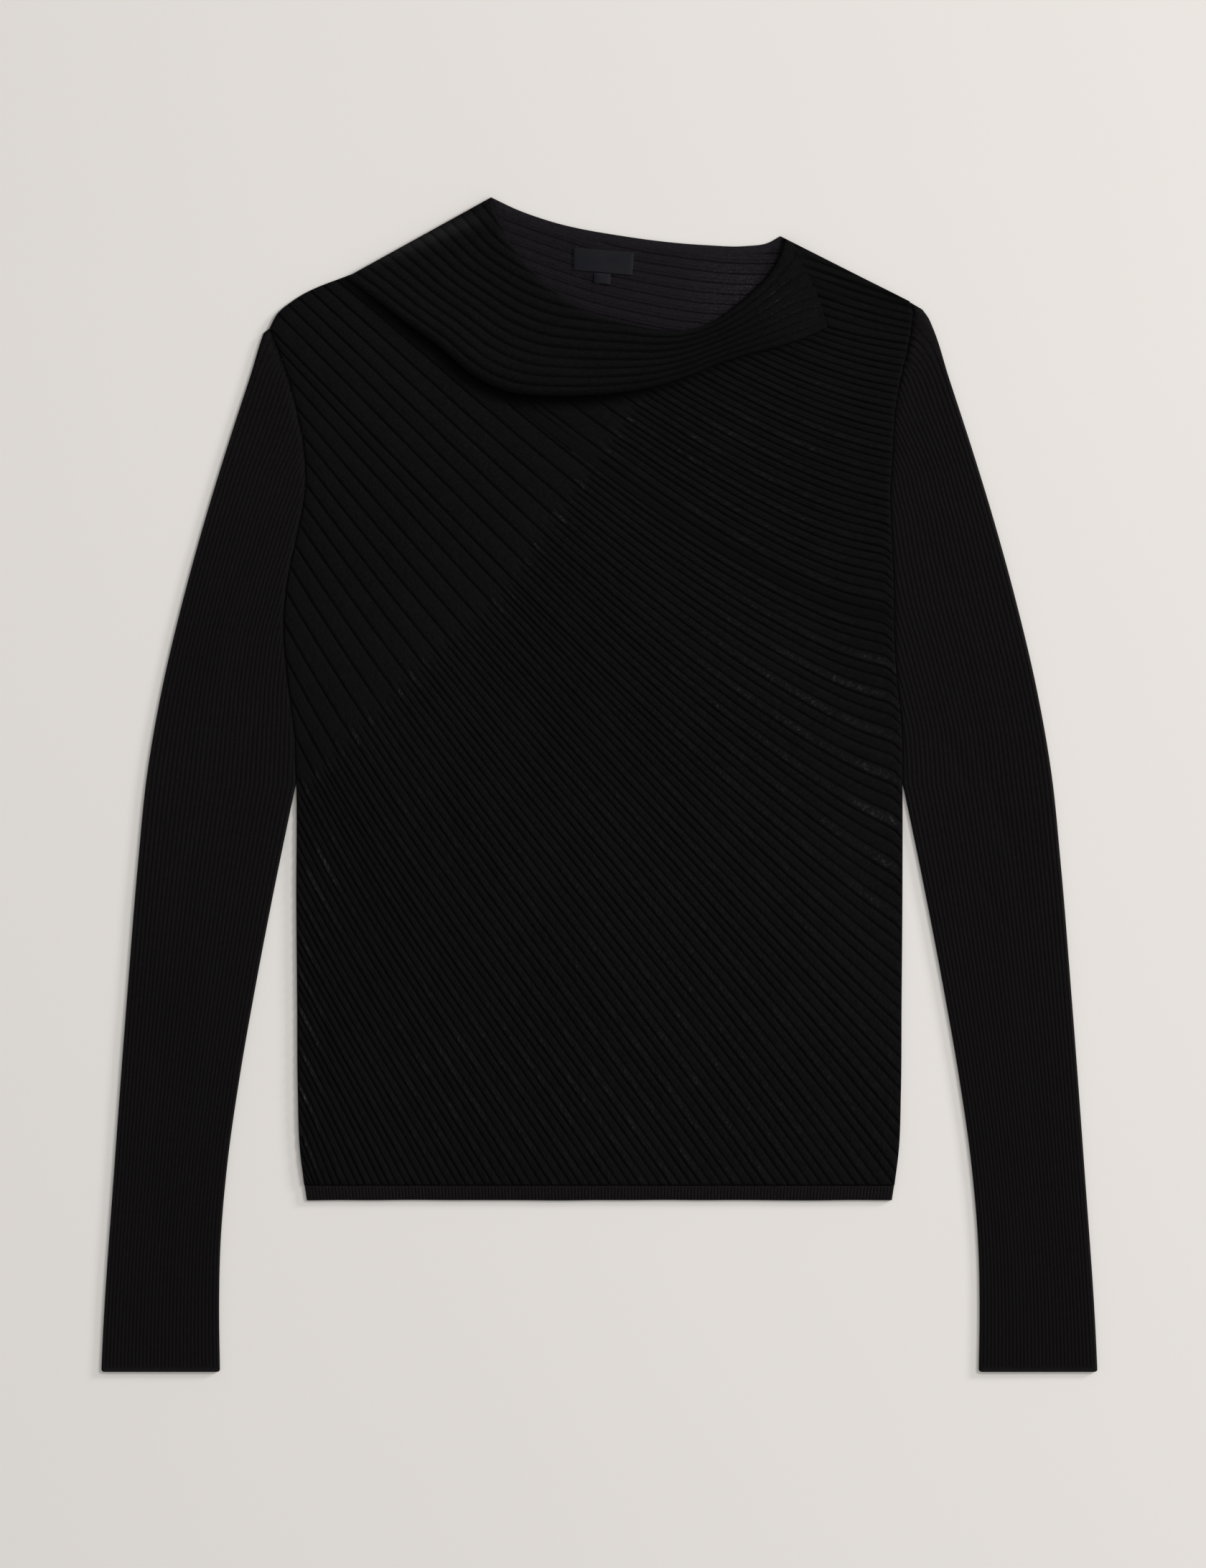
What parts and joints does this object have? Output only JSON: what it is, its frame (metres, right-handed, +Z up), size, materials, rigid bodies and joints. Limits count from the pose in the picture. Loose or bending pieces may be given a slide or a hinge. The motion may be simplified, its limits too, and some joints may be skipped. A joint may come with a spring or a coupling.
{
  "type": "knit top",
  "caption": "Fine-ribbed long-sleeved knit top with a one-sided draped neck, its ribs fanning slantwise over the front, laid flat on its back.",
  "frame": {"origin": "middle of the bounding box at the ground that the top lies on", "axes": "+X towards the right of the picture, which is the wearer's left sleeve; +Y from the hem to the neck; +Z up from the ground, out of the front"},
  "size_m": [0.6104, 0.7194, 0.0081],
  "materials": {
    "knit_front": "matt fine rib knit with a faint dry lustre on the rib tops",
    "knit_sleeve": "matt fine rib knit, ribs lengthwise",
    "knit_inside": "matt knit, the inside of the back",
    "knit_band": "matt narrow rib band",
    "label_satin": "satin, bare"
  },
  "bodies": {
    "root": {"back_panel": "knit_inside", "front_panel": "knit_front", "front_cowl": "knit_front", "sleeve_left": "knit_sleeve", "sleeve_right": "knit_sleeve", "hem_band": "knit_band", "neck_label": "label_satin", "size_tab": "label_satin"}
  },
  "joints": []
}
